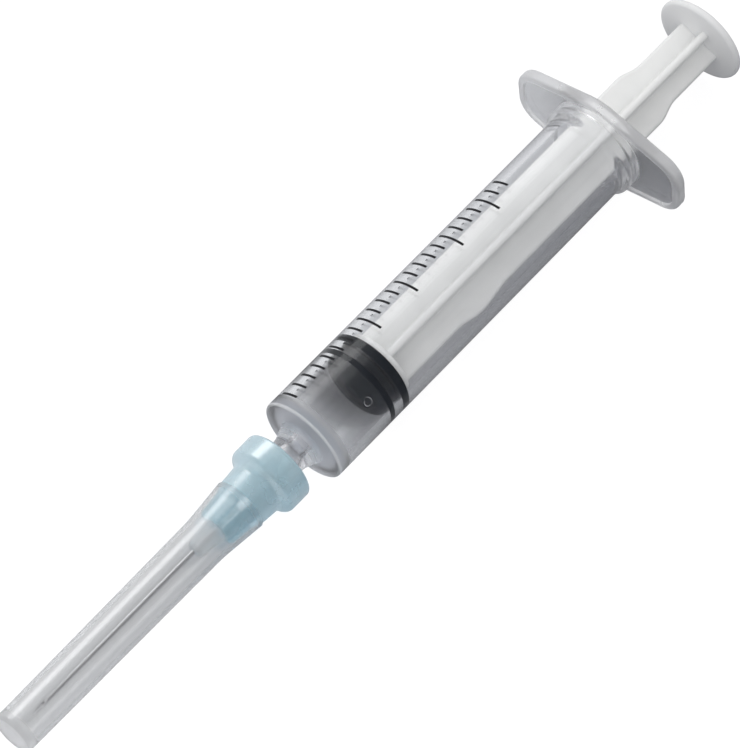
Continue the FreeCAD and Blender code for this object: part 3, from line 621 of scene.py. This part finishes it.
class SYRINGE_OT_barrel(bpy.types.Operator):
    """Build the clear barrel with its nozzle and finger flange"""

    bl_idname = "syringe.barrel"
    bl_label = "Barrel"

    def execute(self, context):
        sizes = context.scene.syringe_barrel
        finish = context.scene.syringe_finish
        front, rear = sizes.flange_front, BARREL_LENGTH
        tip_radius, taper_radius = 1.95 * MM, 2.16 * MM
        taper_root, neck_rear = -3.6 * MM, -2.1 * MM
        cone_rear, cone_radius = -1.2 * MM, 2.6 * MM
        foot_front, foot_radius = -0.35 * MM, 2.96 * MM
        lead_in = 0.35 * MM
        bead_rear, bead_half = rear - 1.0 * MM, 0.4 * MM
        outline = [
            (sizes.nozzle_tip, tip_radius, 0.1),
            (taper_root, taper_radius, 0),
            (taper_root, sizes.neck_radius, 0.06),
            (neck_rear, sizes.neck_radius, 0.3),
            (cone_rear, cone_radius, 0.2),
            (foot_front, foot_radius, 0.12),
            (0, foot_radius, 0.2),
            (0, sizes.radius, 0.3),
            (sizes.collar_front - sizes.collar_flare, sizes.radius, 0.3),
            (sizes.collar_front, sizes.collar_radius, 0.2),
            (front, sizes.collar_radius, 0.1),
            (front, sizes.collar_radius + 0.2 * MM, 0),
            (front, sizes.collar_radius + 0.4 * MM, 0),
            (front, sizes.flange_radius, 0.4),
            (rear, sizes.flange_radius, 0.4),
            (rear, sizes.bore + lead_in, 0.1),
            (rear - lead_in, sizes.bore, 0.1),
            (bead_rear, sizes.bore, 0.1),
            (bead_rear - bead_half, sizes.bore - sizes.bead_height, 0.15),
            (bead_rear - 2 * bead_half, sizes.bore, 0.1),
            (sizes.front_wall, sizes.bore, 0.25),
            (sizes.front_wall - sizes.cone_depth, sizes.lumen, 0.15),
            (sizes.nozzle_tip, sizes.lumen, 0.08),
        ]
        bm = spun(outline)
        self.shape_wings(bm, sizes)
        round_rings(bm, outline)
        rim_width, edge_width, shallow = 0.05 * MM, 0.32 * MM, 0.02 * MM
        for face in bm.faces:
            middle = face.calc_center_median()
            reach = math.hypot(middle.y, middle.z)
            rim = front - shallow < middle.x < rear - rim_width
            in_recess = middle.x > front + 0.2 * MM and abs(face.normal.x) > 0.9
            front_edge = (-shallow < middle.x < 0.35 * MM
                          and reach > sizes.radius - edge_width)
            if (rim and not in_recess and reach > sizes.collar_radius) or front_edge:
                face.material_index = 1
        materials = (self.clear_plastic(sizes, finish),
                     frosted_plastic("frosted_plastic", finish, finish.frost * 0.85, 0.62))
        add_piece(context, "barrel_moulding", bm, materials, "barrel",
                  "barrel")
        return {"FINISHED"}

    def shape_wings(self, bm, sizes):
        """Pushes the flange's rings out to its wings and sinks the recess inside the border."""
        foot, floor_edge, border_edge, rim_front, rim_rear = range(11, 16)
        foot_gap, slope, run = 0.15 * MM, 0.12 * MM, 0.8 * MM
        least = sizes.collar_radius + foot_gap
        ring = bm.verts.layers.int["ring"]
        for vertex in bm.verts:
            place = vertex[ring]
            if not foot <= place <= rim_rear:
                continue
            bearing, _ = polar(vertex)
            inner = wing_outline(sizes, bearing, sizes.border)
            room = (inner - least) / run
            depth = sizes.recess * min(1.0, max(0.0, room))
            if place in (foot, floor_edge):
                vertex.co.x = sizes.flange_front + depth
            if place == floor_edge:
                push(vertex, max(least, inner - slope))
            if place == border_edge:
                push(vertex, max(least + 0.03 * MM, inner))
            if place in (rim_front, rim_rear):
                push(vertex, wing_outline(sizes, bearing, 0.0))

    def clear_plastic(self, sizes, finish):
        """Clear plastic, frosted and tinted where the walls are thick."""
        material = moulded("clear_plastic", finish.clear, flow_lines, 1.5 * MICRON,
                           finish.haze, Transmission_Weight=1.0, IOR=PLASTIC_IOR,
                           Specular_IOR_Level=0.06)
        face = -0.3 * MM
        frost_band(material, face, sizes.front_wall + 0.2 * MM, 0.8 * MM, finish.frost * 1.7)
        frost_band(material, sizes.collar_front + 0.6 * MM, BARREL_LENGTH, 1.2 * MM,
                   finish.frost * 0.58)
        frost_band(material, sizes.nozzle_tip, 0, 0.5 * MM, finish.frost * 0.4)
        tint_band(material, face, sizes.front_wall - 0.3 * MM, 0.6 * MM, finish.wall)
        gate = (FRONT_FACE + sizes.gate_station, sizes.radius * math.cos(sizes.gate_turn),
                AXIS_HEIGHT + sizes.radius * math.sin(sizes.gate_turn))
        add_ring_mark(material, gate, 0.5 * MM, 0.12 * MM, 0.05 * MM)
        return let_lamps_through(material, CLEAR_PASS)


class SYRINGE_OT_graduations(bpy.types.Operator):
    """Print the graduations on the barrel"""

    bl_idname = "syringe.graduations"
    bl_label = "Graduations"

    def execute(self, context):
        sizes = context.scene.syringe_marks
        barrel = context.scene.syringe_barrel
        finish = context.scene.syringe_finish
        bm = bmesh.new()
        low = barrel.radius + 0.002 * MM
        high = barrel.radius + sizes.ink
        for number in range(1, sizes.marks + 1):
            middle = sizes.first + (number - 1) * sizes.pitch
            sweep = sizes.long if number in LONG_MARKS else sizes.short
            left, right = middle - sizes.stroke / 2, middle + sizes.stroke / 2
            corners = [(left, low), (right, low), (right, high), (left, high)]
            points = [bm.verts.new((x, 0, radius)) for x, radius in corners]
            edges = [bm.edges.new((points[n], points[(n + 1) % 4])) for n in range(4)]
            bmesh.ops.rotate(bm, verts=points, cent=(0, 0, 0),
                             matrix=Matrix.Rotation(-sizes.start, 3, "X"))
            bmesh.ops.spin(bm, geom=points + edges, cent=(0, 0, 0), axis=(1, 0, 0),
                           dvec=(0, 0, 0), angle=sweep, steps=16)
        bmesh.ops.holes_fill(bm, edges=[edge for edge in bm.edges if edge.is_boundary], sides=4)
        bmesh.ops.recalc_face_normals(bm, faces=bm.faces)
        ends = [edge for edge in bm.edges
                if all(abs(polar(v)[1] - high) < 1e-7 for v in edge.verts)
                and edge.calc_length() > 0.9 * sizes.stroke
                and edge.calc_face_angle(0) > 1]
        bmesh.ops.bevel(bm, geom=ends, offset=0.03 * MM, offset_type="OFFSET",
                        segments=2, profile=0.5, affect="EDGES", material=-1)
        ink = moulded("print_ink", finish.ink, soft_clouds, 4 * MICRON, 0.42,
                      Specular_IOR_Level=0.2)
        add_piece(context, "printed_graduations", bm, [ink], "barrel",
                  "graduations")
        return {"FINISHED"}


class SYRINGE_OT_gasket(bpy.types.Operator):
    """Build the black rubber gasket"""

    bl_idname = "syringe.gasket"
    bl_label = "Gasket"

    def execute(self, context):
        sizes = context.scene.syringe_plunger
        barrel = context.scene.syringe_barrel
        finish = context.scene.syringe_finish
        sealing = barrel.bore + sizes.squeeze
        rib_rear = sizes.gasket_front + sizes.front_rib
        rear = sizes.gasket_rear
        groove_rear = rear - sizes.rear_rib
        nose = sizes.gasket_front - barrel.cone_depth
        neck_radius, neck_depth = 1.63 * MM, 0.87 * MM
        socket_radius, socket_depth = 2.33 * MM, 2.33 * MM
        outline = [
            (nose, 0, 0),
            (nose, barrel.lumen, 0.15),
            (sizes.gasket_front, sealing, 0.14),
            (rib_rear, sealing, 0.16),
            (rib_rear, sealing - sizes.groove, 0.16),
            (groove_rear, sealing - sizes.groove, 0.16),
            (groove_rear, sealing, 0.16),
            (rear, sealing, 0.16),
            (rear, neck_radius, 0.1),
            (rear - neck_depth, neck_radius, 0),
            (rear - neck_depth, socket_radius, 0),
            (rear - socket_depth, socket_radius, 0),
            (rear - socket_depth, 0, 0),
        ]
        bm = spun(outline, closed=False)
        round_rings(bm, outline)
        rubber = moulded("black_rubber", finish.rubber, soft_clouds, 3 * MICRON, 0.42,
                         Specular_IOR_Level=0.15)
        add_piece(context, "rubber_gasket", bm, [rubber], "plunger", "gasket")
        return {"FINISHED"}


class SYRINGE_OT_rod(bpy.types.Operator):
    """Build the plunger rod with its four ribs, stop lobe and thumb disc"""

    bl_idname = "syringe.rod"
    bl_label = "Plunger rod"

    def execute(self, context):
        sizes = context.scene.syringe_plunger
        finish = context.scene.syringe_finish
        head_front = sizes.gasket_rear - 2.3 * MM
        head_rear = sizes.gasket_rear - 0.9 * MM
        head_radius, neck_radius = 2.3 * MM, 1.6 * MM
        plate_front = sizes.gasket_rear + 0.01 * MM
        plate = [
            (head_front, 0, 0),
            (head_front, neck_radius, 0.1),
            ((head_front + head_rear) / 2, head_radius, 0.1),
            (head_rear, head_radius, 0.1),
            (head_rear, neck_radius, 0),
            (plate_front, neck_radius, 0),
            (plate_front, sizes.plate_radius, 0.15),
            (sizes.plate_rear, sizes.plate_radius, 0.2),
            (sizes.plate_rear, 0, 0),
        ]
        dish_floor = sizes.thumb_rear - 0.2 * MM
        disc = [
            (sizes.thumb_front, 0, 0),
            (sizes.thumb_front, sizes.thumb_radius, 0.4),
            (sizes.thumb_rear, sizes.thumb_radius, 0.4),
            (sizes.thumb_rear, 4.7 * MM, 0.1),
            (dish_floor, 4.5 * MM, 0.1),
            (dish_floor, 0, 0),
        ]
        bm = self.ribs(sizes)
        for outline in (plate, disc):
            piece = spun(outline, closed=False)
            round_rings(piece, outline)
            bmesh.ops.recalc_face_normals(piece, faces=piece.faces)
            bm = joined(context, bm, piece)
        milky = moulded("milky_plastic", finish.milky, soft_clouds, 1.5 * MICRON, 0.5,
                        Specular_IOR_Level=0.2, Subsurface_Weight=0.6,
                        Subsurface_Scale=0.0016, Subsurface_Radius=(1.0, 1.0, 1.0))
        # Painted shade: the thumb disc is tinted greyer, as if the floor showed through it.
        tint_band(milky, sizes.thumb_front + 0.1 * MM, sizes.thumb_rear, 0.4 * MM,
                  finish.disc)
        add_piece(context, "plunger_moulding", bm, [milky], "plunger",
                  "plunger_rod")
        return {"FINISHED"}

    def ribs(self, sizes):
        """Four ribs along the rod, one of them with the stop lobe."""
        rib = sizes.rib_thickness
        half, reach, tail = rib / 2, sizes.rib_reach, sizes.tail_reach
        past_half = half * 1.01
        lobe, overlap = 4.22 * MM, 0.4 * MM

        # Stations with the reach of the three plain ribs and of the rib with the stop lobe.
        stations = [
            (sizes.plate_rear - overlap, reach, reach),
            (23.2 * MM, reach, reach),
            (25.6 * MM, reach, lobe),
            (27.0 * MM, reach, lobe),
            (30.7 * MM, reach, reach),
            (59.4 * MM, reach, reach),
            (61.7 * MM, tail, tail),
            (sizes.thumb_front + overlap, tail, tail),
        ]
        bm = bmesh.new()
        start, plain, _ = stations[0]
        quarter = [(half, half), (half, plain), (-half, plain)]
        points = []
        for turn in range(4):
            spin = Matrix.Rotation(math.radians(90) * turn, 2)
            for across, up in quarter:
                y, z = spin @ Vector((across, up))
                points.append(bm.verts.new((start, y, z)))
        section = bm.faces.new(points)
        shoulders, buried = [], []
        for place, plain, special in stations[1:]:
            grown = bmesh.ops.extrude_face_region(bm, geom=[section])["geom"]
            buried.append(section)
            section = next(item for item in grown if isinstance(item, bmesh.types.BMFace))
            for vertex in section.verts:
                vertex.co.x = place
                y, z = vertex.co.y, vertex.co.z
                if max(abs(y), abs(z)) < past_half:
                    continue
                ahead = special if y < -past_half else plain
                if abs(y) > abs(z):
                    vertex.co.y = math.copysign(ahead, y)
                else:
                    vertex.co.z = math.copysign(ahead, z)
            shoulders += [edge for edge in section.edges
                          if min(max(abs(v.co.y), abs(v.co.z)) for v in edge.verts) > past_half]
        bmesh.ops.delete(bm, geom=buried[1:], context="FACES_ONLY")

        # The last four shoulders lie inside the thumb disc.
        round_edges(bm, shoulders[:-4], 0.6)
        bmesh.ops.recalc_face_normals(bm, faces=bm.faces)
        lengthwise = [edge for edge in bm.edges
                      if edge.calc_face_angle(0) > 1.0
                      and abs((edge.verts[0].co - edge.verts[1].co).x) > 0.05 * MM]
        corners = [edge for edge in lengthwise
                   if all(math.hypot(v.co.y, v.co.z) < rib for v in edge.verts)]
        rims = [edge for edge in lengthwise if edge not in corners]
        round_edges(bm, corners, 0.35)
        round_edges(bm, rims, 0.46)
        bmesh.ops.rotate(bm, verts=bm.verts, cent=(0, 0, 0),
                         matrix=Matrix.Rotation(sizes.rod_turn, 3, "X"))
        return bm


class SYRINGE_OT_hub(bpy.types.Operator):
    """Build the pale blue needle hub with its fins"""

    bl_idname = "syringe.hub"
    bl_label = "Needle hub"

    def execute(self, context):
        sizes = context.scene.syringe_needle
        finish = context.scene.syringe_finish
        mouth_radius, floor_radius = 2.176 * MM, 1.955 * MM
        core_rear, core_front = 2.42 * MM, 1.95 * MM
        well_radius, well_floor = 1.1 * MM, -13.4 * MM
        seat_radius, seat_rear = 0.33 * MM, -11.0 * MM
        inlet_radius, socket_floor = 0.9 * MM, -11.1 * MM
        tip_chamfer = 0.3 * MM
        outline = [
            (sizes.hub_mouth, mouth_radius, 0.08),
            (sizes.hub_mouth, sizes.collar_radius, 0.35),
            (sizes.collar_front, sizes.collar_radius, 0.4),
            (sizes.step_front, sizes.shoulder_radius, 0.35),
            (sizes.cap_mouth, sizes.hub_radius, 0.08),
            (sizes.cap_mouth, core_rear, 0),
            (sizes.hub_front + tip_chamfer, core_front, 0),
            (sizes.hub_front, core_front - 0.15 * MM, 0),
            (sizes.hub_front, well_radius, 0.05),
            (well_floor, well_radius, 0),
            (well_floor, seat_radius, 0),
            (seat_rear, seat_radius, 0),
            (socket_floor, inlet_radius, 0),
            (socket_floor, floor_radius, 0),
        ]
        bm = spun(outline)
        self.raise_fins(bm, sizes, tip_chamfer)
        round_rings(bm, outline)
        material = moulded("hub_plastic", finish.hub, soft_clouds, 1.5 * MICRON, 0.24,
                           Transmission_Weight=0.6, IOR=PLASTIC_IOR, Coat_Weight=1.0,
                           Coat_Roughness=0.25, Coat_IOR=3.9)
        tint_band(material, sizes.hub_front, sizes.cap_mouth - 0.4 * MM, 0.8 * MM,
                  finish.fins)
        let_lamps_through(material, HUB_PASS)
        add_piece(context, "hub_moulding", bm, [material], "needle",
                  "needle_hub")
        return {"FINISHED"}

    def raise_fins(self, bm, sizes, tip_chamfer):
        """Pushes the core's rings out where a fin stands."""
        fin_rear, fin_front = 2.85 * MM, 2.47 * MM
        reach = {6: fin_rear, 7: fin_front, 8: fin_front - tip_chamfer}
        ring = bm.verts.layers.int["ring"]
        step = 2 * math.pi / sizes.fins
        for vertex in bm.verts:
            if vertex[ring] not in reach:
                continue
            bearing, _ = polar(vertex)
            off = (bearing - sizes.fin_turn + step / 2) % step - step / 2
            if abs(off) * fin_rear < sizes.fin_thickness / 2:
                push(vertex, reach[vertex[ring]])


class SYRINGE_OT_needle(bpy.types.Operator):
    """Build the glue nose and the steel needle tube with its ground point"""

    bl_idname = "syringe.needle"
    bl_label = "Needle and glue"

    def execute(self, context):
        sizes = context.scene.syringe_needle
        finish = context.scene.syringe_finish
        self.glue_nose(context, sizes, finish)
        self.tube(context, sizes, finish)
        return {"FINISHED"}

    def glue_nose(self, context, sizes, finish):
        """The glue that fills the hub's well and closes round the needle."""
        inside, well_radius, nose_radius = 0.33 * MM, 1.09 * MM, 1.5 * MM
        well_floor, rim = -13.41 * MM, sizes.hub_front - 0.01 * MM
        outline = [
            (well_floor, inside, 0),
            (well_floor, well_radius, 0),
            (rim, well_radius, 0),
            (rim, nose_radius, 0.1),
            (sizes.nose_tip, 1.05 * MM, 0.6),
            (sizes.nose_tip, inside, 0),
        ]
        bm = spun(outline)
        round_rings(bm, outline, segments=6)
        glue = moulded("glue", finish.glue, soft_clouds, 4 * MICRON, 0.4,
                       Transmission_Weight=0.72, IOR=1.42)
        let_lamps_through(glue, GLUE_PASS)
        add_piece(context, "glue_bead", bm, [glue], "needle", "adhesive")

    def tube(self, context, sizes, finish):
        """The steel tube, cut on the slant at its point."""
        rear = -11.0 * MM
        bm = spun([(rear, sizes.tube_bore, 0), (rear, sizes.tube_radius, 0),
                   (sizes.point, sizes.tube_radius, 0), (sizes.point, sizes.tube_bore, 0)])
        run, rise = sizes.grind, 2 * sizes.tube_radius
        everything = bm.verts[:] + bm.edges[:] + bm.faces[:]
        bmesh.ops.bisect_plane(bm, geom=everything, dist=1e-9,
                               plane_co=(sizes.point, 0, -sizes.tube_radius),
                               plane_no=(-rise, 0, run), clear_outer=True)
        bmesh.ops.bridge_loops(bm, edges=[edge for edge in bm.edges if edge.is_boundary])
        steel = moulded("needle_steel", finish.steel, flow_lines, 4 * MICRON, 0.16,
                        Metallic=1.0)
        add_piece(context, "needle_tube", bm, [steel], "needle", "cannula")


class SYRINGE_OT_cap(bpy.types.Operator):
    """Build the clear needle cap"""

    bl_idname = "syringe.cap"
    bl_label = "Needle cap"

    def execute(self, context):
        sizes = context.scene.syringe_needle
        finish = context.scene.syringe_finish
        wall = sizes.cap_wall
        inner_end = sizes.cap_end + sizes.cap_end_wall
        lip, lead_in = 0.12 * MM, 1.2 * MM
        outline = [
            (sizes.cap_end, 0, 0),
            (sizes.cap_end, sizes.tip_radius, 0.9),
            (sizes.throat, sizes.throat_radius, 0.8),
            (sizes.cap_mouth, sizes.cap_radius, 0.05),
            (sizes.cap_mouth, sizes.cap_radius - lip, 0),
            (sizes.cap_mouth - lead_in, sizes.cap_radius - wall - 0.1 * MM, 0.3),
            (sizes.throat, sizes.throat_radius - wall, 0.8),
            (inner_end, sizes.tip_radius - wall, 0.5),
            (inner_end, 0, 0),
        ]
        bm = spun(outline, closed=False)
        round_rings(bm, outline, segments=6)
        for face in bm.faces:
            if face.calc_center_median().x < sizes.cap_end + 0.3 * MM:
                face.material_index = 1
        clear = moulded("cap_plastic", finish.cap, flow_lines, 1.5 * MICRON,
                        finish.haze * 1.5, Transmission_Weight=1.0, IOR=PLASTIC_IOR,
                        Specular_IOR_Level=0.3, Coat_Weight=0.7, Coat_Roughness=0.22,
                        Coat_IOR=2.6)
        frost_band(clear, sizes.cap_mouth - 0.5 * MM, sizes.cap_mouth, 0.5 * MM,
                   finish.frost * 0.8)
        frost_band(clear, sizes.cap_end, inner_end, 1.5 * MM, finish.frost)
        let_lamps_through(clear, CLEAR_PASS)
        frosted = frosted_plastic("frosted_cap", finish, finish.frost, 0.65)
        add_piece(context, "cap_moulding", bm, (clear, frosted), "cap",
                  "needle_cap")
        return {"FINISHED"}


class SYRINGE_OT_stage(bpy.types.Operator):
    """Set up the floor, the lamps and the camera"""

    bl_idname = "syringe.stage"
    bl_label = "Stage"

    def execute(self, context):
        settings = context.scene.syringe_stage
        self.floor(context, settings)
        self.sky(context, settings)
        for name, setting, spot, size, glints in LAMPS:
            self.lamp(context, name, getattr(settings, setting), Vector(spot), size, glints)
        self.camera(context, settings)
        context.scene.view_settings.view_transform = "Standard"
        return {"FINISHED"}

    def floor(self, context, settings):
        """A pale round floor that keeps the shadow and goes to white for what is seen."""
        bm = bmesh.new()
        bmesh.ops.create_circle(bm, cap_ends=True, segments=96, radius=settings.floor_radius)
        mesh = as_mesh("floor", bm)
        floor = linked(context, "floor", mesh)
        material = bpy.data.materials.new("floor_paper")
        material.use_nodes = True
        mesh.materials.append(material)
        tree = material.node_tree
        path = node_with(tree, "ShaderNodeLightPath")
        place = object_place(tree)
        # Painted light and shade: lighter on the +Y side, where the lamps fall, darker on the
        # other side.
        side = vector_node(tree, "DOT_PRODUCT", place, PAINTED_SIDE_SLOPE)
        painted_sides = mixed(tree, ranged(tree, side, 0.0, 1.0, -PAINTED_SIDE_BLEND, PAINTED_SIDE_BLEND),
                      opaque(PAINTED_SHADE_SIDE), opaque(PAINTED_LIT_SIDE))
        # Painted shadow under the chamber, which fades out between its core and its edge.
        gap = vector_node(tree, "DISTANCE", vector_node(tree, "MULTIPLY", place, PAINTED_SHADOW_SCALE),
                          PAINTED_SHADOW_CENTRE)
        away = ranged(tree, gap, 0.0, 1.0, PAINTED_SHADOW_CORE, PAINTED_SHADOW_EDGE, smooth=True)
        shade = mixed(tree, away, opaque(PAINTED_SHADOW), painted_sides)
        through = math_node(tree, "MAXIMUM", path["Is Glossy Ray"], path["Is Transmission Ray"])
        glow = math_node(tree, "MAXIMUM",
                         math_node(tree, "MULTIPLY", path["Is Camera Ray"], PAPER_GLOW),
                         math_node(tree, "MULTIPLY", through, SEEN_THROUGH_GLOW))
        feed_all(tree, tree.nodes["Principled BSDF"].inputs,
                 Base_Color=mixed(tree, path["Is Camera Ray"], shade, opaque(PAPER)),
                 Roughness=0.9, Specular_IOR_Level=0.0, Emission_Color=(1, 1, 1, 1),
                 Emission_Strength=glow)

    def sky(self, context, settings):
        """Even light from all round, a little stronger from above and from the left."""
        world = bpy.data.worlds.new("studio")
        context.scene.world = world
        world.use_nodes = True
        tree = world.node_tree
        place = node_with(tree, "ShaderNodeTexCoord")["Generated"]
        path = node_with(tree, "ShaderNodeLightPath")
        bright = vector_node(tree, "DOT_PRODUCT", place, SKY_BRIGHT)
        even = ranged(tree, bright, 0.5 * settings.sky, 1.15 * settings.sky, -0.6, 0.8)
        facing = vector_node(tree, "DOT_PRODUCT", place, SKY_FLAG)
        flag = ranged(tree, facing, 1.0, 0.3, 0.0, 0.8)
        seen = mixed(tree, path["Is Glossy Ray"], 1.0, flag, "FLOAT")
        strength = math_node(tree, "MULTIPLY", even, seen)
        feed_all(tree, tree.nodes["Background"].inputs, Color=(1, 1, 1, 1),
                 Strength=mixed(tree, path["Is Camera Ray"], strength, 1.0, "FLOAT"))

    def lamp(self, context, name, watts, spot, size, glints):
        """An area lamp that looks at the syringe, with or without a highlight of its own."""
        data = bpy.data.lights.new(name, "AREA")
        data.shape = "RECTANGLE"
        data.size, data.size_y = size
        data.energy = watts
        lamp = linked(context, name, data)
        lamp.visible_glossy = glints
        back = (spot - Vector((0, 0, AXIS_HEIGHT))).normalized()
        side = Vector((1, 0, 0)).cross(back).normalized()
        turn = Matrix((side, side.cross(back), back)).transposed()
        lamp.matrix_world = Matrix.Translation(spot) @ turn.to_4x4()

    def camera(self, context, settings):
        """The photograph's viewpoint."""
        azimuth, elevation, roll = settings.azimuth, settings.elevation, settings.roll
        back = Vector((math.sin(azimuth) * math.cos(elevation),
                       -math.cos(azimuth) * math.cos(elevation), math.sin(elevation)))
        level = Vector((0, 0, 1)).cross(back).normalized()
        up = back.cross(level)
        right = level * math.cos(roll) + up * math.sin(roll)
        turn = Matrix((right, back.cross(right), back)).transposed()
        data = bpy.data.cameras.new("camera")
        data.sensor_width = SENSOR_WIDTH
        data.lens = settings.lens
        data.clip_start = 0.01
        data.clip_end = 20.0
        camera = linked(context, "camera", data)
        spot = Vector(CAMERA_AIM) + back * settings.distance
        camera.matrix_world = Matrix.Translation(spot) @ turn.to_4x4()
        context.scene.camera = camera


OPERATORS = (
    SYRINGE_OT_stage, SYRINGE_OT_barrel, SYRINGE_OT_graduations, SYRINGE_OT_gasket,
    SYRINGE_OT_rod, SYRINGE_OT_hub, SYRINGE_OT_needle, SYRINGE_OT_cap,
)


class SYRINGE_PT_panel(bpy.types.Panel):
    """Buttons that build the syringe piece by piece."""

    bl_idname = "SYRINGE_PT_panel"
    bl_label = "Slip Tip Syringe"
    bl_space_type = "VIEW_3D"
    bl_region_type = "UI"
    bl_category = "Syringe"

    def draw(self, context):
        for operator in OPERATORS:
            self.layout.operator(operator.bl_idname)


CLASSES = (*SETTINGS.values(), *OPERATORS, SYRINGE_PT_panel)


def register():
    for kind in CLASSES:
        bpy.utils.register_class(kind)
    for name, kind in SETTINGS.items():
        setattr(bpy.types.Scene, name, bpy.props.PointerProperty(type=kind))


def unregister():
    for name in SETTINGS:
        delattr(bpy.types.Scene, name)
    for kind in reversed(CLASSES):
        bpy.utils.unregister_class(kind)


def main():
    """Builds the stage and every piece."""
    register()
    bpy.ops.syringe.stage()
    bpy.ops.syringe.barrel()
    bpy.ops.syringe.graduations()
    bpy.ops.syringe.gasket()
    bpy.ops.syringe.rod()
    bpy.ops.syringe.hub()
    bpy.ops.syringe.needle()
    bpy.ops.syringe.cap()


if __name__ == "__main__":
    main()
